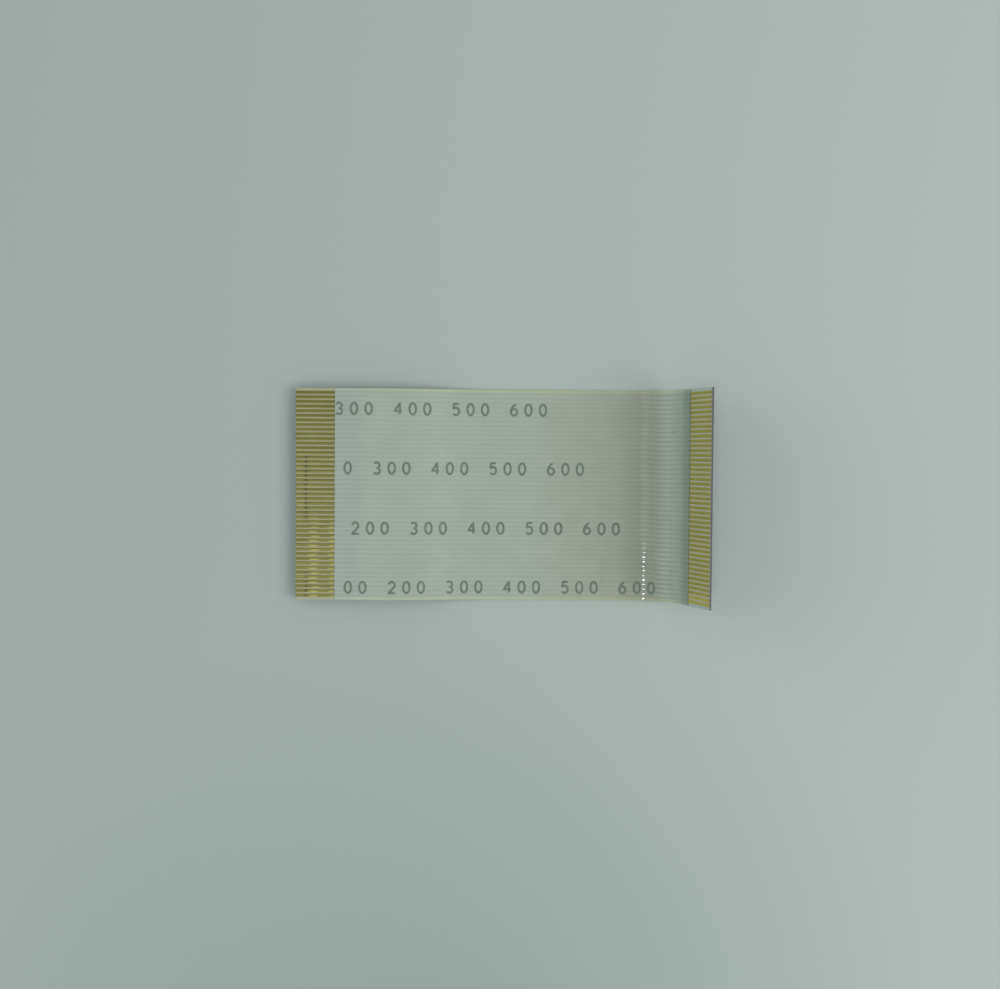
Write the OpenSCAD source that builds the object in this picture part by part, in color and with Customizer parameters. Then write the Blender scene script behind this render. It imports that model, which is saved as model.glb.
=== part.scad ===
// Flat flexible cable with flat conductors laminated between two films.
// It lies on a table: the left tab rises a little off it, the middle lies flat,
// and the right tab has been bent up.
// X runs along the cable, Y across it and Z up.

/* [Cable] */
// Number of flat conductors
conductor_count = 45; // [20:1:50]
// Distance between the centres of two neighbouring conductors
pitch = 0.5; // [0.5:0.05:1]
// Distance from the centre of an outer conductor to the side of the cable
side_margin = 0.5; // [0.35:0.05:1]
// Length of the stretch in the middle that lies flat on the table
flat_length = 15.75; // [12:0.25:50]

/* [Layers] */
// Width of one conductor
conductor_w = 0.3; // [0.2:0.01:0.35]
// Thickness of one conductor
conductor_t = 0.05; // [0.035:0.005:0.07]
// Thickness of the lower film, with its adhesive
lower_film_t = 0.06; // [0.04:0.005:0.1]
// Thickness of the upper film over a conductor, with its adhesive
upper_film_t = 0.06; // [0.05:0.005:0.1]
// Height of the rib that the upper film has over each conductor
rib_h = 0.03; // [0.02:0.005:0.04]
// Width of a rib at its crest
rib_crest_w = 0.2; // [0.1:0.01:0.3]
// Width of a rib at its foot
rib_foot_w = 0.38; // [0.36:0.01:0.46]

/* [Tabs] */
// Length of the conductors left bare at each end
contact_length = 4.25; // [3:0.25:5.5]
// Length of the stiffener under each end
stiffener_length = 6; // [5.75:0.25:6.5]
// Thickness of a stiffener
stiffener_t = 0.19; // [0.1:0.01:0.25]
// Length of the straight tab at the left end
left_tab_length = 8; // [6.5:0.25:10]
// Length of the straight tab at the right end
right_tab_length = 6; // [6:0.25:7]

/* [Bends] */
// Slope of the left tab, which rises towards the middle of the cable
left_tab_slope = 1; // [0.5:0.25:2]
// Steepest slope of the ramp that comes down from the left tab
ramp_slope = 12; // [9:0.5:14]
// Radius of the ramp's upper curve
crest_radius = 32; // [20:1:34]
// Radius of the ramp's lower curve, which meets the table
foot_radius = 30; // [20:1:34]
// Radius of the bend that lifts the right tab
bend_radius = 4.7; // [3:0.1:6]
// Angle through which the right tab is bent up
bend_angle = 69.5; // [45:0.5:85]

/* [Hidden] */
// Smoothness of the curves
$fn = 180;

// Heights in the cross-section, measured from the middle of the conductors
conductor_top = conductor_t / 2;
conductor_bottom = -conductor_t / 2;
film_bottom = conductor_bottom - lower_film_t;
stiffener_bottom = film_bottom - stiffener_t;
rib_crest = conductor_top + upper_film_t;
rib_valley = rib_crest - rib_h;

// Places across the cable
conductor_row = (conductor_count - 1) * pitch;
cable_w = conductor_row + 2 * side_margin;
function conductor_y(i) = (i - 1) * pitch - conductor_row / 2;

// Slopes of the two tabs: the nearest angle whose sine and cosine are both short numbers,
// so that a tab is turned without growing or shrinking and meets its bend exactly
function short_number(value) =
    let (digits = pow(10, 5 - floor(log(abs(value)))))
        round(value * digits) / digits;
function growth(angle) = abs(pow(short_number(sin(angle)), 2) + pow(short_number(cos(angle)), 2) - 1);
function exact_angle(angle) =
    let (nearby = [for (step = [-50 : 50]) round(angle * 1000 + step) / 1000])
        let (growths = [for (value = nearby) growth(value)])
            nearby[search(min(growths), growths)[0]];
left_slope = exact_angle(left_tab_slope);
right_slope = exact_angle(bend_angle);

// Lengths along the cable, where an arc is its radius times its angle
function arc_length(radius, angle) = radius * angle * PI / 180;
crest_length = arc_length(crest_radius, ramp_slope + left_slope);
foot_length = arc_length(foot_radius, ramp_slope);
bend_length = arc_length(bend_radius, right_slope);

// The stretches of the cable from left to right, each as its length and the angle it turns upwards
stretches = [
    [left_tab_length, 0],
    [crest_length, -(ramp_slope + left_slope)],
    [foot_length, ramp_slope],
    [flat_length, 0],
    [bend_length, right_slope],
    [right_tab_length, 0]
];
flat_stretch = 3;
last_stretch = len(stretches) - 1;

// Where a stretch begins along the cable, and the slope at which it begins
function length_before(i) = i == 0 ? 0 : length_before(i - 1) + stretches[i - 1][0];
function slope_before(i) = i == 0 ? left_slope : slope_before(i - 1) + stretches[i - 1][1];
cable_length = length_before(last_stretch) + stretches[last_stretch][0];

// Step in X and Z from the start of a stretch to its end
function turn_radius(stretch) = stretch[0] / (stretch[1] * PI / 180);
function stretch_step(stretch, slope) =
    stretch[1] == 0
        ? stretch[0] * [cos(slope), sin(slope)]
        : turn_radius(stretch) * [
            sin(slope + stretch[1]) - sin(slope),
            cos(slope) - cos(slope + stretch[1])
        ];

// Point in X and Z where a stretch begins, measured from the start of the flat one
function point_before(i) =
    i == flat_stretch
        ? [0, 0]
        : i > flat_stretch
            ? point_before(i - 1) + stretch_step(stretches[i - 1], slope_before(i - 1))
            : point_before(i + 1) - stretch_step(stretches[i], slope_before(i));

// The flat stretch lies on the table, and the cable's outline is centred over the origin
left_reach = point_before(0)[0] - conductor_top * sin(left_slope);
right_reach = point_before(last_stretch + 1)[0] - stiffener_bottom * sin(right_slope);
origin_shift = [-(left_reach + right_reach) / 2, 0, -film_bottom];

// Angle by which a bend runs into the stretches beside it, far below any size that counts
seam_angle = 1e-8;

// Names of the nodes
function two_digits(i) = str(i < 10 ? "0" : "", i);
function conductor_name(i) = str("conductor_", two_digits(i));
FILMS = ["lower_film", "upper_film", "left_stiffener", "right_stiffener"];

// Outline of the upper film: a rib over each conductor and a channel under each rib
function film_top_points() = concat(
    [[rib_valley, -cable_w / 2]],
    [for (i = [1 : conductor_count]) each [
        [rib_valley, conductor_y(i) - rib_foot_w / 2],
        [rib_crest, conductor_y(i) - rib_crest_w / 2],
        [rib_crest, conductor_y(i) + rib_crest_w / 2],
        [rib_valley, conductor_y(i) + rib_foot_w / 2]
    ]],
    [[rib_valley, cable_w / 2]]
);
function film_channel_points() = concat(
    [[conductor_bottom, cable_w / 2]],
    [for (i = [conductor_count : -1 : 1]) each [
        [conductor_bottom, conductor_y(i) + conductor_w / 2],
        [conductor_top, conductor_y(i) + conductor_w / 2],
        [conductor_top, conductor_y(i) - conductor_w / 2],
        [conductor_bottom, conductor_y(i) - conductor_w / 2]
    ]],
    [[conductor_bottom, -cable_w / 2]]
);
module upper_film_section() {
    polygon(concat(film_top_points(), film_channel_points()));
}

// Section of a flat strip between two heights, centred on a place across the cable
module strip_section(bottom, top, width, middle = 0) {
    translate([bottom, middle - width / 2])
        square([top - bottom, width]);
}

// Move to a point in X and Z in a coarse and a fine step, which keeps every digit,
// so that neighbouring stretches meet exactly
module place(point) {
    coarse = [for (value = point) round(value * 1000) / 1000];
    fine = point - coarse;
    translate([coarse[0], 0, coarse[1]])
        translate([fine[0], 0, fine[1]])
            children();
}

// Straight length of a section, which is drawn with height along X and width along Y
module straight_sweep(slope, from, to) {
    rotate([0, -slope, 0])
        translate([from, 0, 0])
            rotate([180, -90, 0])
                linear_extrude(height = to - from)
                    children();
}

// Length of a section that bends upwards round a centre above it
module upward_sweep(radius, slope, angle) {
    rotate([90, 90, 0])
        rotate_extrude(angle = angle, start = slope)
            translate([radius, 0])
                mirror([1, 0])
                    children();
}

// Length of a section that bends downwards round a centre below it
module downward_sweep(radius, slope, angle) {
    rotate([-90, -90, 0])
        rotate_extrude(angle = angle, start = -slope)
            translate([radius, 0])
                mirror([0, 1])
                    children();
}

// Part of a straight stretch, held at the end that is nearer the flat one
module straight_part(i, from, to) {
    held = i < flat_stretch ? stretches[i][0] : 0;
    point = i < flat_stretch ? point_before(i + 1) : point_before(i);
    place(point) straight_sweep(slope_before(i), from - held, to - held) children();
}

// Part of a curved stretch, placed by its centre, which runs into its neighbours by a hair
module curved_part(i, from, to) {
    radius = turn_radius(stretches[i]);
    slope = slope_before(i) + (from / radius * 180 / PI) - sign(radius) * seam_angle;
    angle = abs((to - from) / radius * 180 / PI) + 2 * seam_angle;
    centre = point_before(i) + radius * [-sin(slope_before(i)), cos(slope_before(i))];
    place(centre)
        if (radius > 0)
            upward_sweep(radius, slope, angle) children();
        else
            downward_sweep(-radius, slope, angle) children();
}

// A section swept along the cable's curve between two distances from its left end
module sweep(from, to) {
    translate(origin_shift)
        for (i = [0 : last_stretch]) {
            before = length_before(i);
            first = max(from - before, 0);
            last = min(to - before, stretches[i][0]);
            if (last > first && stretches[i][1] == 0)
                straight_part(i, first, last) children();
            else if (last > first)
                curved_part(i, first, last) children();
        }
}

// Smooth film that carries everything, from end to end
module lower_film() {
    color([0.80, 0.84, 0.76])
        sweep(0, cable_length)
            strip_section(film_bottom, conductor_bottom, cable_w);
}

// Ribbed film over the conductors, which leaves the contacts bare
module upper_film() {
    color([0.84, 0.88, 0.80])
        sweep(contact_length, cable_length - contact_length)
            upper_film_section();
}

// Flat conductor in its channel, bare at both ends
module conductor(i) {
    color([0.72, 0.62, 0.24])
        sweep(0, cable_length)
            strip_section(conductor_bottom, conductor_top, conductor_w, conductor_y(i));
}

// Plate laminated under the left end
module left_stiffener() {
    color([0.25, 0.42, 0.62])
        sweep(0, stiffener_length)
            strip_section(stiffener_bottom, film_bottom, cable_w);
}

// Plate laminated under the right end
module right_stiffener() {
    color([0.25, 0.42, 0.62])
        sweep(cable_length - stiffener_length, cable_length)
            strip_section(stiffener_bottom, film_bottom, cable_w);
}

lower_film();
upper_film();
left_stiffener();
right_stiffener();
for (i = [1 : conductor_count])
    conductor(i);
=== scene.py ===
import math
import bpy
import numpy as np
from mathutils import Matrix, Vector


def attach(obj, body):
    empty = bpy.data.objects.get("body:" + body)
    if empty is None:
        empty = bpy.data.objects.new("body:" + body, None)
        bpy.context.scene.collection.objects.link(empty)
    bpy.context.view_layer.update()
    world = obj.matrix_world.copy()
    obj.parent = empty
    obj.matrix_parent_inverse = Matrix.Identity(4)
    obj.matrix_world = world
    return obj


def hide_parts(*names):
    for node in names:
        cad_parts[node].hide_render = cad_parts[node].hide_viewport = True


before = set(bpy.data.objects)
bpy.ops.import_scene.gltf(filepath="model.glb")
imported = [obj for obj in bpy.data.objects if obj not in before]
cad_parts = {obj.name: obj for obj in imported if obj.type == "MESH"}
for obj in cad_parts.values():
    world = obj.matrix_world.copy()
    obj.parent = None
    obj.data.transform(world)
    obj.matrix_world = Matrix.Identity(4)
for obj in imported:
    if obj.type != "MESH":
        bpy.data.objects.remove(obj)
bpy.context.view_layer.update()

MM = 0.001

# The cable, in millimetres, as the solids have it
PITCH = 0.5
COUNT = 45
WIDTH = 23.0
CONDUCTOR_W = 0.3
CONDUCTOR_TOP = 0.025
CONDUCTOR_BOTTOM = -0.025
FILM_BOTTOM = -0.085
STIFFENER_BOTTOM = -0.275
RIB_CREST = 0.085
RIB_VALLEY = 0.055
RIB_CREST_W = 0.2
RIB_FOOT_W = 0.38
CONTACT_LENGTH = 4.25
STIFFENER_LENGTH = 6.0
OUTER_CONDUCTOR = (COUNT - 1) / 2 * PITCH

# The side view, with slopes in degrees
LEFT_SLOPE = 0.999
RAMP_SLOPE = 12.0
RIGHT_SLOPE = 69.49
LEFT_TAB = 8.0
CREST_RADIUS = 32.0
RAMP_RADIUS = 30.0
FLAT_LENGTH = 15.75
BEND_RADIUS = 4.7
RIGHT_TAB = 6.0


def arc_length(radius, angle):
    return radius * math.radians(angle)


# Each stretch as its length and the angle that it turns upwards
STRETCHES = [
    (LEFT_TAB, 0.0),
    (arc_length(CREST_RADIUS, RAMP_SLOPE + LEFT_SLOPE), -(RAMP_SLOPE + LEFT_SLOPE)),
    (arc_length(RAMP_RADIUS, RAMP_SLOPE), RAMP_SLOPE),
    (FLAT_LENGTH, 0.0),
    (arc_length(BEND_RADIUS, RIGHT_SLOPE), RIGHT_SLOPE),
    (RIGHT_TAB, 0.0),
]
FLAT_STRETCH = 3
CABLE_LENGTH = sum(length for length, turn in STRETCHES)
FILM_END = CABLE_LENGTH - CONTACT_LENGTH

# Rows of points along the cable: how far a chord may stray from its arc, and the longest and
# shortest step from one row to the next
CHORD_ERROR = 0.0018
LONGEST_STEP = 2.0
SHORTEST_STEP = 0.01


def slope_before(i):
    return LEFT_SLOPE + sum(turn for length, turn in STRETCHES[:i])


def step(length, turn, slope):
    """Step in X and Z along a stretch that starts at this slope."""
    a = math.radians(slope)
    if turn == 0:
        return length * math.cos(a), length * math.sin(a)
    radius = length / math.radians(turn)
    b = math.radians(slope + turn)
    return radius * (math.sin(b) - math.sin(a)), radius * (math.cos(a) - math.cos(b))


def corner_points():
    """Where each stretch begins, with the flat one on the table and the outline centred."""
    points = [None] * (len(STRETCHES) + 1)
    points[FLAT_STRETCH] = (0.0, -FILM_BOTTOM)
    for i in range(FLAT_STRETCH, len(STRETCHES)):
        dx, dz = step(*STRETCHES[i], slope_before(i))
        points[i + 1] = (points[i][0] + dx, points[i][1] + dz)
    for i in range(FLAT_STRETCH - 1, -1, -1):
        dx, dz = step(*STRETCHES[i], slope_before(i))
        points[i] = (points[i + 1][0] - dx, points[i + 1][1] - dz)
    left = points[0][0] - CONDUCTOR_TOP * math.sin(math.radians(LEFT_SLOPE))
    right = points[-1][0] - STIFFENER_BOTTOM * math.sin(math.radians(RIGHT_SLOPE))
    shift = -(left + right) / 2
    return [(x + shift, z) for x, z in points]


POINTS = corner_points()


def on_cable(s, y, n):
    """The point at a distance s along the cable, y across it and n above the conductors' middle."""
    i = 0
    while i < len(STRETCHES) - 1 and s > STRETCHES[i][0]:
        s -= STRETCHES[i][0]
        i += 1
    length, turn = STRETCHES[i]
    slope = slope_before(i)
    turned = turn * s / length
    dx, dz = step(s, turned, slope)
    h = math.radians(slope + turned)
    return (
        (POINTS[i][0] + dx - n * math.sin(h)) * MM,
        y * MM,
        (POINTS[i][1] + dz + n * math.cos(h)) * MM,
    )


def stations(first, last, extra=()):
    """Distances along the cable of a swept piece's rows of points, closer where it bends more."""
    found = {round(first, 4), round(last, 4)}
    found.update(round(s, 4) for s in extra if first < s < last)
    begin = 0.0
    for length, turn in STRETCHES:
        radius = length / math.radians(abs(turn)) if turn else math.inf
        rows = math.ceil(length / min(LONGEST_STEP, math.sqrt(8 * radius * CHORD_ERROR)))
        for k in range(rows + 1):
            s = begin + length * k / rows
            if first < s < last:
                found.add(round(s, 4))
        begin += length
    kept = []
    for s in sorted(found):
        if not kept or s - kept[-1] > SHORTEST_STEP:
            kept.append(s)
    kept[-1] = last
    return kept


# Meshes

# Edges that turn by more degrees than this are sharp, on the laminated pieces and on the print
LAMINATE_SHARP = 35
PRINT_SHARP = 60


def new_object(name, verts, faces, material, sharp=LAMINATE_SHARP):
    mesh = bpy.data.meshes.new(name)
    mesh.from_pydata(verts, [], faces)
    mesh.validate()
    mesh.polygons.foreach_set("use_smooth", [True] * len(mesh.polygons))
    mesh.set_sharp_from_angle(angle=math.radians(sharp))
    mesh.materials.append(material)
    made = bpy.data.objects.new(name, mesh)
    bpy.context.scene.collection.objects.link(made)
    return made


def slab(name, rows, across, top, bottom, material, tint=None):
    """A closed strip along the cable, with points at these rows along it and places across it.

    top and bottom give its height at a distance along the cable and a place across it, and tint
    gives its colour there.
    """
    verts, colours = [], []
    for side in (top, bottom):
        for s in rows:
            for y in across:
                verts.append(on_cable(s, y, side(s, y)))
                if tint:
                    colours.append(tint(s, y))
    wide, long = len(across), len(rows)
    lower = wide * long
    faces = []
    for r in range(long - 1):
        for c in range(wide - 1):
            a = r * wide + c
            faces.append((a, a + wide, a + wide + 1, a + 1))
            b = lower + a
            faces.append((b, b + 1, b + wide + 1, b + wide))
        for c, flip in ((0, False), (wide - 1, True)):
            a, b = r * wide + c, lower + r * wide + c
            quad = (a, b, b + wide, a + wide)
            faces.append(quad[::-1] if flip else quad)
    for r, flip in ((0, False), (long - 1, True)):
        for c in range(wide - 1):
            a, b = r * wide + c, lower + r * wide + c
            quad = (a, a + 1, b + 1, b)
            faces.append(quad[::-1] if flip else quad)
    made = new_object(name, verts, faces, material)
    if tint:
        layer = made.data.color_attributes.new(name="tint", type="FLOAT_COLOR", domain="POINT")
        layer.data.foreach_set("color", np.array(colours, dtype=np.float32).ravel())
    return made


# Colours and materials

def linear(r, g, b):
    """A colour as a screen shows it, from 0 to 255, as the linear values that a shader takes."""
    def one(v):
        v /= 255
        return v / 12.92 if v <= 0.04045 else ((v + 0.055) / 1.055) ** 2.4
    return (one(r), one(g), one(b), 1.0)


def mixed(a, b, t):
    return tuple(p + (q - p) * t for p, q in zip(a, b))


def smooth(low, high, v):
    t = min(max((v - low) / (high - low), 0.0), 1.0)
    return t * t * (3 - 2 * t)


def tinted(colour, tint):
    return tuple(a * b for a, b in zip(colour, tint))


BLACK = (0, 0, 0, 1)
WHITE = (1, 1, 1, 1)

FILM_OVER_GAP = linear(163, 173, 162)
FILM_OVER_CONDUCTOR = linear(158, 168, 157)
FILM_OVER_GAP_STIFF = linear(154, 166, 157)
FILM_OVER_CONDUCTOR_STIFF = linear(151, 163, 154)
FILM_MARGIN = linear(170, 180, 154)
FILM_MARGIN_STIFF = linear(162, 173, 158)
# Where the colour changes across the cable: from a rib's middle, and from the cable's
GAP_BEGINS = (0.10, 0.20)
MARGIN_BEGINS = (OUTER_CONDUCTOR + 0.14, OUTER_CONDUCTOR + 0.24)
# Where it changes along the cable, at the stiffeners and at the end of the left tab
LEFT_STIFF_ENDS = (STIFFENER_LENGTH + 0.1, STIFFENER_LENGTH + 3.2)
RIGHT_STIFF_BEGINS = (CABLE_LENGTH - STIFFENER_LENGTH - 0.5, CABLE_LENGTH - STIFFENER_LENGTH + 0.2)
RIBS_SHOW = (7.5, 9.5)
# Painted shade: the stretch before the bend is tinted warmer and a little darker, where the raised
# end's shadow falls on it
WARM_SHADE = (0.965, 0.93, 0.90, 1)
WARM_SHADE_BEGINS = (24, 31)
WARM_SHADE_ENDS = (35.5, 37.5)
# Painted shade in the bend, where the film turns away from the light: a little darker and warmer
# there
BEND_SHADE = (0.91, 0.85, 0.815, 1)
BEND_MIDDLE = 38.2
BEND_REACH = (0.8, 3.4)
# Painted shade on the ribs where the film is bent up, so that they stand out more
RIB_SHADE = 0.04
RIB_SHADE_BEGINS = (BEND_MIDDLE - 2, BEND_MIDDLE + 1)
RIB_SHADE_ACROSS = (0.02, 0.23)
# Painted shade: the film is a little darker where it ends at the lifted contacts
END_SHADE = 0.22
END_SHADE_BEGINS = (FILM_END - 1.9, FILM_END - 0.6)
# A faint mark on the film near its right end: its place along and across the cable
SMUDGE = (41.75, 7.0)
SMUDGE_SIZE = (0.5, 0.14)
SMUDGE_LEVEL = 0.72
SMUDGE_FADES = (0.4, 1.0)


def film_tint(s, y):
    """The ribbed film's colour: darker on a conductor, yellower aside, bluish on a stiffener, with
    painted shade before and in the bend, on the bent-up ribs and at the right end.
    """
    off_centre = abs(y - round(y / PITCH) * PITCH)
    gap = 0.5 + (smooth(*GAP_BEGINS, off_centre) - 0.5) * smooth(*RIBS_SHOW, s)
    edge = smooth(*MARGIN_BEGINS, abs(y))
    stiff = max(1 - smooth(*LEFT_STIFF_ENDS, s), smooth(*RIGHT_STIFF_BEGINS, s))
    open_middle = mixed(FILM_OVER_CONDUCTOR, FILM_OVER_GAP, gap)
    stiff_middle = mixed(FILM_OVER_CONDUCTOR_STIFF, FILM_OVER_GAP_STIFF, gap)
    open_colour = mixed(open_middle, FILM_MARGIN, edge)
    stiff_colour = mixed(stiff_middle, FILM_MARGIN_STIFF, edge)
    colour = mixed(open_colour, stiff_colour, stiff)
    # Painted shade, warm and soft, where the raised end shades the stretch before the bend
    yellow = smooth(*WARM_SHADE_BEGINS, s) * (1 - smooth(*WARM_SHADE_ENDS, s))
    colour = mixed(colour, tinted(colour, WARM_SHADE), yellow)
    # Painted shade in the bend
    shaded = tinted(colour, BEND_SHADE)
    colour = mixed(shaded, colour, smooth(*BEND_REACH, abs(s - BEND_MIDDLE)))
    # Painted shade on the ribs of the bent-up film
    on_rib = 1 - smooth(*RIB_SHADE_ACROSS, off_centre)
    colour = mixed(colour, BLACK, RIB_SHADE * smooth(*RIB_SHADE_BEGINS, s) * on_rib * (1 - edge))
    # Painted shade near the film's right end
    colour = mixed(colour, BLACK, END_SHADE * smooth(*END_SHADE_BEGINS, s))
    away = math.hypot((s - SMUDGE[0]) / SMUDGE_SIZE[0], (y - SMUDGE[1]) / SMUDGE_SIZE[1])
    return mixed(mixed(BLACK, colour, SMUDGE_LEVEL), colour, smooth(*SMUDGE_FADES, away))


def node_material(name, roughness, metallic=0.0):
    material = bpy.data.materials.new(name)
    material.use_nodes = True
    shader = material.node_tree.nodes["Principled BSDF"]
    shader.inputs["Roughness"].default_value = roughness
    shader.inputs["Metallic"].default_value = metallic
    return material, material.node_tree, shader


def add(tree, kind, **values):
    node = tree.nodes.new(kind)
    for key, value in values.items():
        setattr(node, key, value)
    return node


def noise(tree, scale, detail, stretch=(1, 1, 1)):
    """Noise over the object's own coordinates, in metres."""
    place = add(tree, "ShaderNodeTexCoord")
    mapping = add(tree, "ShaderNodeMapping")
    mapping.inputs["Scale"].default_value = stretch
    texture = add(tree, "ShaderNodeTexNoise")
    texture.inputs["Scale"].default_value = scale
    texture.inputs["Detail"].default_value = detail
    tree.links.new(place.outputs["Object"], mapping.inputs["Vector"])
    tree.links.new(mapping.outputs["Vector"], texture.inputs["Vector"])
    return texture.outputs["Fac"]


def scaled(tree, value, from_low, from_high, to_low, to_high):
    node = add(tree, "ShaderNodeMapRange")
    node.inputs["From Min"].default_value = from_low
    node.inputs["From Max"].default_value = from_high
    node.inputs["To Min"].default_value = to_low
    node.inputs["To Max"].default_value = to_high
    tree.links.new(value, node.inputs["Value"])
    return node.outputs["Result"]


def mottled(tree, scale, detail, low=0.0, high=1.0, stretch=(1, 1, 1)):
    """Noise from low to high, spread so that it reaches both."""
    return scaled(tree, noise(tree, scale, detail, stretch), 0.3, 0.7, low, high)


def blend(tree, factor, a, b, mode="MIX"):
    """Mix two colours. Each may be a colour or an output."""
    node = add(tree, "ShaderNodeMix", data_type="RGBA", blend_type=mode)
    for socket, value in ((node.inputs[0], factor), (node.inputs[6], a), (node.inputs[7], b)):
        if hasattr(value, "is_linked"):
            tree.links.new(value, socket)
        else:
            socket.default_value = value
    return node.outputs[2]


def add_bump(tree, shader, height, strength, distance):
    bump = add(tree, "ShaderNodeBump")
    bump.inputs["Strength"].default_value = strength
    bump.inputs["Distance"].default_value = distance
    tree.links.new(height, bump.inputs["Height"])
    tree.links.new(bump.outputs["Normal"], shader.inputs["Normal"])


def along(tree, direction):
    """How far a point lies in a direction, in the object's own coordinates."""
    place = add(tree, "ShaderNodeTexCoord")
    dot = add(tree, "ShaderNodeVectorMath", operation="DOT_PRODUCT")
    dot.inputs[1].default_value = direction
    tree.links.new(place.outputs["Object"], dot.inputs[0])
    return dot.outputs["Value"]


def heading(angle, sign):
    """The direction along a straight tab with this slope, outwards where the sign fits its end."""
    a = math.radians(angle)
    return (sign * math.cos(a), 0.0, sign * math.sin(a))


def end_mask(tree, s, angle, sign, soft):
    """One beyond a distance s along the cable and nothing before it.

    It counts towards the right end where the sign is 1, and towards the left end where it is -1.
    """
    out = heading(angle, sign)
    edge = sum(a * b for a, b in zip(out, on_cable(s, 0.0, 0.0)))
    return scaled(tree, along(tree, out), edge - soft * MM, edge + soft * MM, 0.0, 1.0)


# How softly the colour changes at the contacts, and at the cut ends, with how far those reach
CONTACT_SOFT = 0.03
CUT_SOFT = 0.004
CUT_DEPTH = 0.006


def left_mask(tree, s, soft=CONTACT_SOFT):
    return end_mask(tree, s, LEFT_SLOPE, -1, soft)


def right_mask(tree, s, soft=CONTACT_SOFT):
    return end_mask(tree, s, RIGHT_SLOPE, 1, soft)


def cut_ends(tree, colour, dark):
    """Darkens the two cut ends, which are only seen edge-on."""
    colour = blend(tree, left_mask(tree, CUT_DEPTH, CUT_SOFT), colour, dark)
    return blend(tree, right_mask(tree, CABLE_LENGTH - CUT_DEPTH, CUT_SOFT), colour, dark)


def side_mask(tree, y, soft):
    """One further from the middle of the cable than y, and nothing nearer."""
    place = add(tree, "ShaderNodeTexCoord")
    split = add(tree, "ShaderNodeSeparateXYZ")
    size = add(tree, "ShaderNodeMath", operation="ABSOLUTE")
    tree.links.new(place.outputs["Object"], split.inputs["Vector"])
    tree.links.new(split.outputs["Y"], size.inputs[0])
    return scaled(tree, size.outputs[0], (y - soft) * MM, (y + soft) * MM, 0.0, 1.0)


# Handling has polished the ribs in the nearer half of the bend: where that begins, towards the
# front and towards the right, and how much rougher the rest of the film is
POLISH_FRONT = (4.9, 6.8)
POLISH_RIGHT = (11.0, 12.5)
UNPOLISHED = 0.2


def glossy_mask(tree):
    """One where the ribs are polished, and nothing elsewhere."""
    low, high = POLISH_FRONT
    near = scaled(tree, along(tree, (0.0, -1.0, 0.0)), low * MM, high * MM, 0.0, 1.0)
    low, high = POLISH_RIGHT
    right = scaled(tree, along(tree, (1.0, 0.0, 0.0)), low * MM, high * MM, 0.0, 1.0)
    both = add(tree, "ShaderNodeMath", operation="MULTIPLY")
    tree.links.new(near, both.inputs[0])
    tree.links.new(right, both.inputs[1])
    return both.outputs[0]


def ribbed_film_material():
    """Satin polyester film: its tint, faint clouding in the adhesive and a fine haze in its gloss."""
    material, tree, shader = node_material("film_top", 0.2)
    tint = add(tree, "ShaderNodeAttribute", attribute_name="tint")
    clouds = mottled(tree, 420, 4)
    cloudy = blend(tree, clouds, linear(246, 249, 247), WHITE)
    colour = blend(tree, 1.0, tint.outputs["Color"], cloudy, "MULTIPLY")
    tree.links.new(colour, shader.inputs["Base Color"])
    haze = mottled(tree, 1200, 2, 0.09, 0.11)
    dulling = add(tree, "ShaderNodeMath", operation="MULTIPLY_ADD")
    dulling.inputs[1].default_value = -UNPOLISHED
    tree.links.new(glossy_mask(tree), dulling.inputs[0])
    tree.links.new(scaled(tree, haze, 0.0, 1.0, UNPOLISHED, UNPOLISHED + 1.0), dulling.inputs[2])
    tree.links.new(dulling.outputs[0], shader.inputs["Roughness"])
    add_bump(tree, shader, noise(tree, 900, 2), 0.08, 0.00002)
    return material


def lower_film_material():
    """Smooth film under the conductors. At the contacts its adhesive shows between them."""
    material, tree, shader = node_material("film_base", 0.3)
    clouds = mottled(tree, 700, 4)
    plain = blend(tree, clouds, linear(158, 168, 146), linear(166, 176, 154))
    side = side_mask(tree, OUTER_CONDUCTOR + 0.2, 0.04)
    left_gap = blend(tree, clouds, linear(148, 145, 106), linear(158, 154, 114))
    left_side = blend(tree, clouds, linear(150, 152, 124), linear(158, 162, 132))
    # Painted light: the adhesive between the right contacts is lighter than at the left, to make up
    # for the shade on the raised right end
    right_gap = blend(tree, clouds, linear(172, 166, 146), linear(182, 175, 156))
    right_side = blend(tree, clouds, linear(158, 172, 166), linear(166, 178, 172))
    left = blend(tree, side, left_gap, left_side)
    right = blend(tree, side, right_gap, right_side)
    colour = blend(tree, left_mask(tree, CONTACT_LENGTH), plain, left)
    colour = blend(tree, right_mask(tree, FILM_END), colour, right)
    colour = cut_ends(tree, colour, linear(96, 104, 84))
    tree.links.new(colour, shader.inputs["Base Color"])
    tree.links.new(mottled(tree, 2500, 3, 0.3, 0.42), shader.inputs["Roughness"])
    return material


def contact_material():
    """Thin gold over nickel: dull olive gold with rolling lines along it, and scuffed."""
    material, tree, shader = node_material("contact_gold", 0.36, 0.65)
    lines = mottled(tree, 1500, 4, stretch=(0.08, 1, 1))
    patches = scaled(tree, noise(tree, 900, 3), 0.35, 0.65, 0.0, 1.0)
    gold = blend(tree, lines, linear(158, 160, 84), linear(170, 170, 94))
    worn = blend(tree, patches, gold, linear(170, 162, 80))
    tint = add(tree, "ShaderNodeAttribute", attribute_name="tint")
    colour = blend(tree, 1.0, worn, tint.outputs["Color"], "MULTIPLY")
    colour = cut_ends(tree, colour, linear(84, 70, 44))
    tree.links.new(colour, shader.inputs["Base Color"])
    tree.links.new(scaled(tree, lines, 0.0, 1.0, 0.30, 0.42), shader.inputs["Roughness"])
    add_bump(tree, shader, noise(tree, 2500, 3, (0.06, 1, 1)), 0.25, 0.000004)
    return material


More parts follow.
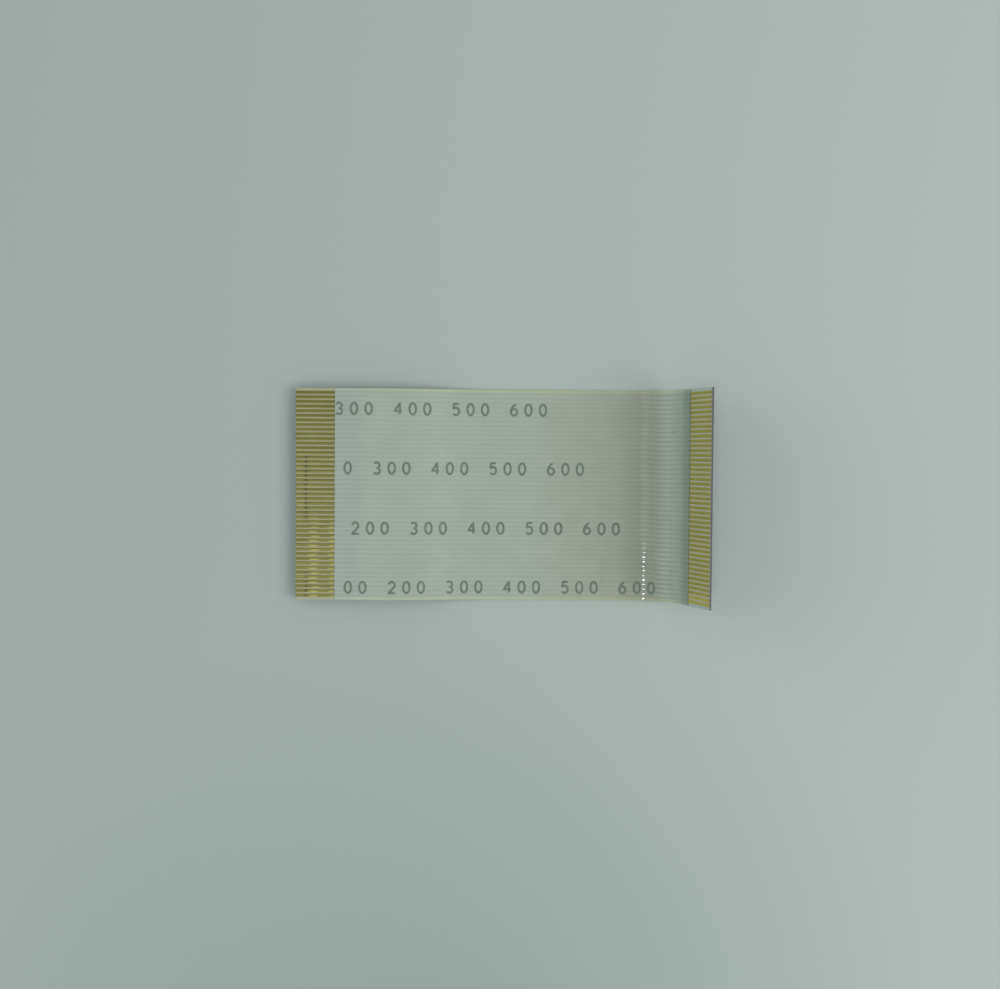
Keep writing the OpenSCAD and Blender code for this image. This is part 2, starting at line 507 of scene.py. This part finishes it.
def stiffener_material():
    """Satin blue polyester with a faint mottle."""
    material, tree, shader = node_material("stiffener_blue", 0.38)
    mottle = mottled(tree, 2200, 5)
    colour = blend(tree, mottle, linear(65, 99, 137), linear(71, 106, 144))
    colour = cut_ends(tree, colour, linear(46, 58, 58))
    tree.links.new(colour, shader.inputs["Base Color"])
    tree.links.new(mottled(tree, 3000, 2, 0.32, 0.46), shader.inputs["Roughness"])
    add_bump(tree, shader, noise(tree, 2600, 3), 0.2, 0.000006)
    return material


def ink_material():
    """Thin grey-green ink, uneven where it dried on the ribs."""
    material, tree, shader = node_material("ink", 0.45)
    uneven = mottled(tree, 2600, 4)
    colour = blend(tree, uneven, linear(92, 108, 96), linear(110, 124, 110))
    tree.links.new(colour, shader.inputs["Base Color"])
    tree.links.new(scaled(tree, uneven, 0.0, 1.0, 0.38, 0.5), shader.inputs["Roughness"])
    return material


# A painted shadow on the table: darkest at this place in front of the cable, in metres, and less so
# this far around
TABLE_SHADOW = (-0.004, -0.066, 0.0)
TABLE_SHADOW_REACH = 0.055
# and painted light brightens it from left to right between these distances from the middle
TABLE_HALF = 0.05


def floor_material():
    """Pale table top with painted light, a little brighter to the right, and a painted shadow in
    front.
    """
    material, tree, shader = node_material("table", 0.7)
    place = add(tree, "ShaderNodeTexCoord")
    split = add(tree, "ShaderNodeSeparateXYZ")
    tree.links.new(place.outputs["Object"], split.inputs["Vector"])
    right = scaled(tree, split.outputs["X"], -TABLE_HALF, TABLE_HALF, 0.0, 1.0)
    # Painted light, brighter to the right
    colour = blend(tree, right, linear(163, 174, 170), linear(175, 185, 181))
    apart = add(tree, "ShaderNodeVectorMath", operation="DISTANCE")
    apart.inputs[1].default_value = TABLE_SHADOW
    tree.links.new(place.outputs["Object"], apart.inputs[0])
    dim = scaled(tree, apart.outputs["Value"], 0.0, TABLE_SHADOW_REACH, 0.0, 1.0)
    # Painted shadow in front of the cable
    shade = blend(tree, dim, linear(222, 232, 230), WHITE)
    colour = blend(tree, 1.0, colour, shade, "MULTIPLY")
    tree.links.new(colour, shader.inputs["Base Color"])
    shader.inputs["Specular IOR Level"].default_value = 0.2
    return material


# The object's pieces

# Slopes across the valleys between ribs, as laminated film never lies quite even
VALLEY_SLOPES = [0.010, -0.012, 0.012, 0.004, 0.018, -0.004, 0.014, 0.0, 0.008, 0.016, -0.006]
# and how far from a valley's middle its slope fades
VALLEY_FADES = (0.06, 0.2)
# The film's outer edges round off: how far down, and over which width
FILM_EDGE_DROP = 0.02
FILM_EDGE_W = 0.06
# A channel's wall lies between two rows of points, each this far from it
HAIR = 0.0005
# Rows of points: from a rib's middle, and in the margin from the last conductor's
RIB_PLACES = [
    0.0, 0.05, RIB_CREST_W / 2, CONDUCTOR_W / 2 - HAIR, CONDUCTOR_W / 2 + HAIR, RIB_FOOT_W / 2, 0.215,
]
MARGIN_PLACES = [0.25, 0.34, 0.43, 0.48]
# Rows of points along the film where its colour changes
FILM_ROWS = (
    [STIFFENER_LENGTH + v for v in (-0.3, 0.1, 0.4, 0.7)]
    + [CABLE_LENGTH - STIFFENER_LENGTH - v for v in (0.5, 0.2, -0.2)]
    + [FILM_END - v for v in (1.2, 0.8, 0.4)]
)


def rib_height(y):
    """Height of the ribbed film at a place across the cable."""
    if abs(y) > OUTER_CONDUCTOR + PITCH / 2:
        return RIB_VALLEY
    off_centre = abs(y - round(y / PITCH) * PITCH)
    height = RIB_CREST - (RIB_CREST - RIB_VALLEY) * smooth(0.0, RIB_FOOT_W / 2, off_centre)
    valley = math.floor(y / PITCH)
    from_middle = y - (valley + 0.5) * PITCH
    slope = VALLEY_SLOPES[valley % len(VALLEY_SLOPES)]
    return height + slope * (1 - smooth(*VALLEY_FADES, abs(from_middle))) * from_middle


def channel_height(y):
    """Height of the film's underside, which has a channel over each conductor."""
    if abs(y) > OUTER_CONDUCTOR + PITCH / 2:
        return CONDUCTOR_BOTTOM
    off_centre = abs(y - round(y / PITCH) * PITCH)
    return CONDUCTOR_TOP if off_centre < CONDUCTOR_W / 2 else CONDUCTOR_BOTTOM


def film_across():
    """Places across the cable where the ribbed film has points."""
    places = {-WIDTH / 2, WIDTH / 2}
    for i in range(COUNT):
        middle = i * PITCH - OUTER_CONDUCTOR
        for v in RIB_PLACES:
            places.update((middle - v, middle + v))
    for i in range(COUNT - 1):
        places.add((i + 0.5) * PITCH - OUTER_CONDUCTOR)
    for v in MARGIN_PLACES:
        places.update((-OUTER_CONDUCTOR - v, OUTER_CONDUCTOR + v))
    return sorted(round(v, 5) for v in places)


def ribbed_film(material):
    """The upper film, between the bare contacts of the two ends."""
    rows = stations(CONTACT_LENGTH, FILM_END, FILM_ROWS)

    def top(s, y):
        return rib_height(y) - FILM_EDGE_DROP * smooth(WIDTH / 2 - FILM_EDGE_W, WIDTH / 2, abs(y))

    def bottom(s, y):
        return channel_height(y)

    made = slab("ribbed_film", rows, film_across(), top, bottom, material, film_tint)
    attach(made, "root")
    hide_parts("upper_film")


# The row of dents and dark marks that a connector has left near the left end
MARK_AT = 1.14
DENT_DEPTH = 0.008
DENT_REACH = 0.16
MARK_REACH = 0.2
MARK_TINT = (0.12, 0.13, 0.10, 1)
MARK_ROWS = [MARK_AT + v for v in (-0.3, -0.2, -0.12, -0.05, 0.02, 0.09, 0.16, 0.26)]
# How strong the mark is, on conductors counted from the far side
MARKED = {n: 0.75 for n in range(15, 29)}
MARKED.update({40: 0.35, 41: 0.45, 42: 0.5, 43: 0.55, 44: 0.8, 45: 0.55})

# Painted highlights: stretches of the nearer left conductors' lower edges, made brighter where a
# small lamp would be reflected in them
BRIGHT_CONDUCTORS = (25, 33)
BRIGHT_PLACES = [(1.35, 2.6), (3.5, 4.4)]
BRIGHT_SOFT = 0.4
HIGHLIGHT_TINT = (1.5, 1.42, 1.5, 1)
BRIGHT_ROWS = [1.22 + 0.16 * k for k in range(22)]
# They shift a little from one conductor to the next, and fade out past the middle of each
BRIGHT_WANDER = 0.14
BRIGHT_TURN = 2.3
BRIGHT_FADES = 0.03
# The last right contacts are tinted brighter
NEAREST_CONDUCTORS = (42.5, 44)
NEAREST_TINT = (1.5, 1.42, 1.2, 1)
BRIGHTENED = 0.7

# Tints of the gold, in a contact's middle and at its edges, at the left and the right end. The left
# is darker and the right lighter: painted light, which offsets the lamps' reflections on the flat
# left contacts and the darker surroundings that the raised right ones reflect
LEFT_MIDDLE = (0.36, 0.375, 0.35, 1)
LEFT_EDGE = (0.53, 0.53, 0.51, 1)
RIGHT_MIDDLE = (1.05, 1.04, 0.81, 1)
RIGHT_EDGE = (1.22, 1.18, 1.03, 1)
# Where, from its middle, a contact's edge begins
CONTACT_EDGE = 0.07
# A conductor's upper edges are rounded: how far down, and over which width
ROUND_DROP = 0.018
ROUND_W = 0.04
# Rows of points along a conductor, on either side of its middle
CONDUCTOR_PLACES = [0.05, CONDUCTOR_W / 2 - ROUND_W, CONDUCTOR_W / 2 - 0.014, CONDUCTOR_W / 2]


def conductor_top(mark, s, inside):
    """Height of a conductor at a distance along it and a distance in from its edge."""
    rounded = ROUND_DROP * (1 - math.sqrt(max(0.0, 1 - (1 - min(inside / ROUND_W, 1.0)) ** 2)))
    dent = DENT_DEPTH * mark * max(0.0, 1 - ((s - MARK_AT) / DENT_REACH) ** 2)
    return CONDUCTOR_TOP - rounded - dent


def painted_highlight(number, s, off):
    """How much painted highlight a conductor gets, at a distance along it and a place off its middle.
    """
    shifted = s + BRIGHT_WANDER * math.sin(BRIGHT_TURN * number)
    return smooth(*BRIGHT_CONDUCTORS, number) * smooth(BRIGHT_FADES, -CONDUCTOR_W / 2, off) * sum(
        smooth(first, first + BRIGHT_SOFT, shifted) * (1 - smooth(last - BRIGHT_SOFT, last, shifted))
        for first, last in BRIGHT_PLACES)


def conductor_tint(number, mark, s, off):
    """What a conductor's gold is multiplied by, at a distance along it and a place off its middle."""
    edge = smooth(CONTACT_EDGE, CONDUCTOR_W / 2, abs(off))
    right = smooth(CABLE_LENGTH / 2 - 1, CABLE_LENGTH / 2 + 1, s)
    # Painted light: the gold is darker at the left end and lighter at the raised right end
    middle_tint = mixed(LEFT_MIDDLE, RIGHT_MIDDLE, right)
    edge_tint = mixed(LEFT_EDGE, RIGHT_EDGE, right)
    plain = mixed(middle_tint, edge_tint, edge)
    # Painted highlight on the nearer left conductors
    plain = mixed(plain, HIGHLIGHT_TINT, BRIGHTENED * painted_highlight(number, s, off))
    plain = mixed(plain, NEAREST_TINT, BRIGHTENED * right * smooth(*NEAREST_CONDUCTORS, number))
    return mixed(plain, MARK_TINT, mark * max(0.0, 1 - ((s - MARK_AT) / MARK_REACH) ** 2))


def conductor(number, material):
    """One flat conductor, counted from the far side, rounded at its edges and dented if marked."""
    middle = OUTER_CONDUCTOR - (number - 1) * PITCH
    mark = MARKED.get(number, 0.0)
    extra = MARK_ROWS if mark else []
    if number > BRIGHT_CONDUCTORS[0]:
        extra = extra + BRIGHT_ROWS
    rows = stations(0.0, CABLE_LENGTH, extra)
    across = sorted([middle] + [middle + v * side for v in CONDUCTOR_PLACES for side in (-1, 1)])

    def top(s, y):
        return conductor_top(mark, s, CONDUCTOR_W / 2 - abs(y - middle))

    def bottom(s, y):
        return CONDUCTOR_BOTTOM

    def tint(s, y):
        return conductor_tint(number, mark, s, y - middle)

    made = slab("contact_strip_%02d" % number, rows, across, top, bottom, material, tint)
    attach(made, "root")
    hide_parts("conductor_%02d" % number)


def paint_node(name, material):
    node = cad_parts[name]
    node.data.materials.clear()
    node.data.materials.append(material)


# The print: plain numbers, as on a scale

def arc(cx, cy, rx, ry, start, end, count=14):
    return [
        (cx + rx * math.cos(math.radians(start + (end - start) * k / count)),
         cy + ry * math.sin(math.radians(start + (end - start) * k / count)))
        for k in range(count + 1)
    ]


# Each digit in use as its strokes, in a cell that is one wide and one high
DIGITS = {
    "0": [arc(0.5, 0.5, 0.44, 0.5, 90, 450, 28)],
    "1": [[(0.18, 0.78), (0.54, 1.0), (0.54, 0.0)], [(0.2, 0.0), (0.88, 0.0)]],
    "2": [arc(0.5, 0.71, 0.41, 0.29, 170, -32) + [(0.06, 0.0), (0.96, 0.0)]],
    "3": [arc(0.46, 0.75, 0.38, 0.25, 150, -90) + arc(0.46, 0.25, 0.44, 0.25, 90, -150)],
    "4": [[(0.74, 0.0), (0.74, 1.0), (0.04, 0.3), (1.0, 0.3)]],
    "5": [[(0.9, 1.0), (0.2, 1.0), (0.13, 0.55)] + arc(0.47, 0.33, 0.44, 0.33, 118, -145)],
    "6": [arc(0.94, 0.3, 0.86, 0.7, 102, 180) + arc(0.5, 0.3, 0.42, 0.3, 180, 540, 24)],
}
PRINTED = "100 200 300 400 500 600"
CELL_W = 0.79
CELL_H = 1.22
CELL_STEP = 1.585
STROKE_W = 0.24
STROKE_STEP = 0.05
STROKE_SHARES = (-1.0, -0.5, 0.0, 0.5, 1.0)
# Ink over the film, with three heights in turn, so that strokes that cross don't share a face
INK_T = 0.003
INK_LIFT = 0.0022
INK_LIFT_STEP = 0.0004
INK_LIFTS = 3
# How far the ink stays from the contacts
INK_CLEARANCE = 0.01
# Rows of print: where each ends along the cable, and its middle across it
PRINT_ROWS = [(27.30, 9.30), (31.40, 2.86), (35.42, -3.66), (39.38, -10.12)]


def resampled(points, gap):
    """The same line with points at most a gap apart, and none twice."""
    out = [points[0]]
    for (ax, ay), (bx, by) in zip(points, points[1:]):
        count = math.ceil(round(math.hypot(bx - ax, by - ay) / gap, 6))
        out += [(ax + (bx - ax) * k / count, ay + (by - ay) * k / count) for k in range(1, count + 1)]
    return out


def stroke_sides(points, half):
    """Steps from a line to the side of its stroke, half its width long and softened at corners."""
    normals = []
    for k in range(len(points)):
        ax, ay = points[max(k - 1, 0)]
        bx, by = points[min(k + 1, len(points) - 1)]
        length = math.hypot(bx - ax, by - ay) or 1.0
        normals.append((-(by - ay) / length * half, (bx - ax) / length * half))
    return normals


def stroke_rows(line):
    """Points across a stroke at each point of its line, or None where it would reach the contacts."""
    rows = []
    for (s, y), (ns, ny) in zip(line, stroke_sides(line, STROKE_W / 2)):
        row = [(s + ns * v, y + ny * v) for v in STROKE_SHARES]
        rows.append(None if min(p[0] for p in row) < CONTACT_LENGTH + INK_CLEARANCE else row)
    return rows


def add_cap(faces, base, flip):
    """Closes one end of a stroke. Its upper points begin at base, and its lower ones follow them."""
    n = len(STROKE_SHARES)
    for c in range(n - 1):
        quad = (base + c, base + c + 1, base + n + c + 1, base + n + c)
        faces.append(quad[::-1] if flip else quad)


def add_stroke(verts, faces, rows, lift):
    """A closed ribbon of ink on the ribs. A row that is None parts it."""
    n = len(STROKE_SHARES)
    previous = None
    for row in rows + [None]:
        if row is None:
            if previous is not None:
                add_cap(faces, previous, True)
            previous = None
            continue
        base = len(verts)
        for ink in (INK_T, 0.0):
            verts.extend(on_cable(s, y, rib_height(y) + lift + ink) for s, y in row)
        if previous is None:
            add_cap(faces, base, False)
        else:
            for c in range(n - 1):
                faces.append((previous + c, base + c, base + c + 1, previous + c + 1))
                faces.append((previous + n + c + 1, base + n + c + 1, base + n + c, previous + n + c))
            faces.append((previous, previous + n, base + n, base))
            faces.append((previous + n - 1, base + n - 1, base + 2 * n - 1, previous + 2 * n - 1))
        previous = base


def print_row(number, end, middle, material):
    """One row of numbers, laid on the ribs and cut off at the contacts."""
    verts, faces = [], []
    first = end - CELL_W - (len(PRINTED) - 1) * CELL_STEP
    layer = 0
    for place, character in enumerate(PRINTED):
        left = first + place * CELL_STEP
        if left + CELL_W / 2 < CONTACT_LENGTH:
            continue
        for stroke in DIGITS.get(character, []):
            placed = [(left + u * CELL_W, middle + (v - 0.5) * CELL_H) for u, v in stroke]
            rows = stroke_rows(resampled(placed, STROKE_STEP))
            add_stroke(verts, faces, rows, INK_LIFT + INK_LIFT_STEP * (layer % INK_LIFTS))
            layer += 1
    made = new_object("print_row_%d" % number, verts, faces, material, PRINT_SHARP)
    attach(made, "root")


# Camera, floor and lights

def aimed(obj, target):
    direction = Vector(target) - obj.location
    obj.rotation_mode = "QUATERNION"
    obj.rotation_quaternion = direction.to_track_quat("-Z", "Y")


# The focal length in picture widths, the place in millimetres, and the turns in radians
CAMERA_SENSOR = 36
CAMERA_LENS = 1.2187
CAMERA_PLACE = (-1.353, 4.415, 133.655)
CAMERA_TURNS = [(-0.0070, "Z"), (0.0116, "Y"), (0.0327, "X")]


def camera():
    data = bpy.data.cameras.new("camera")
    made = bpy.data.objects.new("camera", data)
    bpy.context.scene.collection.objects.link(made)
    data.sensor_width = CAMERA_SENSOR
    data.lens = CAMERA_LENS * CAMERA_SENSOR
    data.clip_start = 0.002
    data.clip_end = 5
    about_z, about_y, about_x = (Matrix.Rotation(angle, 3, axis) for angle, axis in CAMERA_TURNS)
    place = (about_z @ about_y @ about_x).transposed().to_4x4()
    place.translation = Vector(CAMERA_PLACE) * MM
    made.matrix_world = place
    bpy.context.scene.camera = made


# The table top reaches this far, in metres, and lies this far below the cable
FLOOR_REACH = 1.5
FLOOR_DROP = 0.00001


def floor():
    corners = [(x * FLOOR_REACH, y * FLOOR_REACH, 0) for x, y in ((-1, -1), (1, -1), (1, 1), (-1, 1))]
    mesh = bpy.data.meshes.new("table")
    mesh.from_pydata(corners, [], [(0, 1, 2, 3)])
    mesh.materials.append(floor_material())
    made = bpy.data.objects.new("table", mesh)
    made.location.z = -FLOOR_DROP
    bpy.context.scene.collection.objects.link(made)


def lamp(name, direction, distance, size, power, colour):
    """A soft round lamp that shines on the middle of the cable from a direction."""
    middle = Vector((0.0, 0.0, 0.0))
    data = bpy.data.lights.new(name, "AREA")
    data.shape = "DISK"
    data.size = size
    data.energy = power
    data.color = colour
    made = bpy.data.objects.new(name, data)
    made.location = middle + Vector(direction).normalized() * distance
    bpy.context.scene.collection.objects.link(made)
    aimed(made, middle)


# Name, direction, distance, size, power and colour of the lamps: a broad one from the right, a
# broader one from the left, and a small one that the polished ribs mirror
LAMPS = [
    ("key", (0.68, -0.17, 0.713), 0.5, 0.36, 1.04, (1.0, 0.85, 0.89)),
    ("fill", (-0.90, 0.25, 0.36), 2.4, 2.0, 15.2, (0.98, 1.0, 0.97)),
    ("glint", (-0.217, -0.115, 0.970), 2.5, 0.26, 5.0, (1.0, 1.0, 1.0)),
]
WORLD_COLOUR = (0.93, 1.04, 1.01, 1)
# The world is darker straight above, where whoever takes the picture stands: from which height of
# the direction to which, and the strength there
OVERHEAD = (0.88, 0.97)
OVERHEAD_STRENGTH = (0.60, 0.33)
# and it is this much darker at the left and brighter at the right
SIDE_STRENGTH = 0.16


def lights():
    world = bpy.data.worlds.new("studio")
    world.use_nodes = True
    tree = world.node_tree
    back = tree.nodes["Background"]
    back.inputs["Color"].default_value = WORLD_COLOUR
    place = add(tree, "ShaderNodeTexCoord")
    split = add(tree, "ShaderNodeSeparateXYZ")
    tree.links.new(place.outputs["Generated"], split.inputs["Vector"])
    overhead = scaled(tree, split.outputs["Z"], *OVERHEAD, *OVERHEAD_STRENGTH)
    rightwards = scaled(tree, split.outputs["X"], -1.0, 1.0, -SIDE_STRENGTH, SIDE_STRENGTH)
    total = add(tree, "ShaderNodeMath", operation="ADD")
    tree.links.new(overhead, total.inputs[0])
    tree.links.new(rightwards, total.inputs[1])
    tree.links.new(total.outputs[0], back.inputs["Strength"])
    bpy.context.scene.world = world
    for values in LAMPS:
        lamp(*values)


bpy.context.scene.view_settings.view_transform = "Standard"

film = ribbed_film_material()
gold = contact_material()
blue = stiffener_material()
base = lower_film_material()
ink = ink_material()

ribbed_film(film)
for number in range(1, COUNT + 1):
    conductor(number, gold)
paint_node("lower_film", base)
paint_node("left_stiffener", blue)
paint_node("right_stiffener", blue)
for number, (row_end, row_middle) in enumerate(PRINT_ROWS, 1):
    print_row(number, row_end, row_middle, ink)

camera()
floor()
lights()
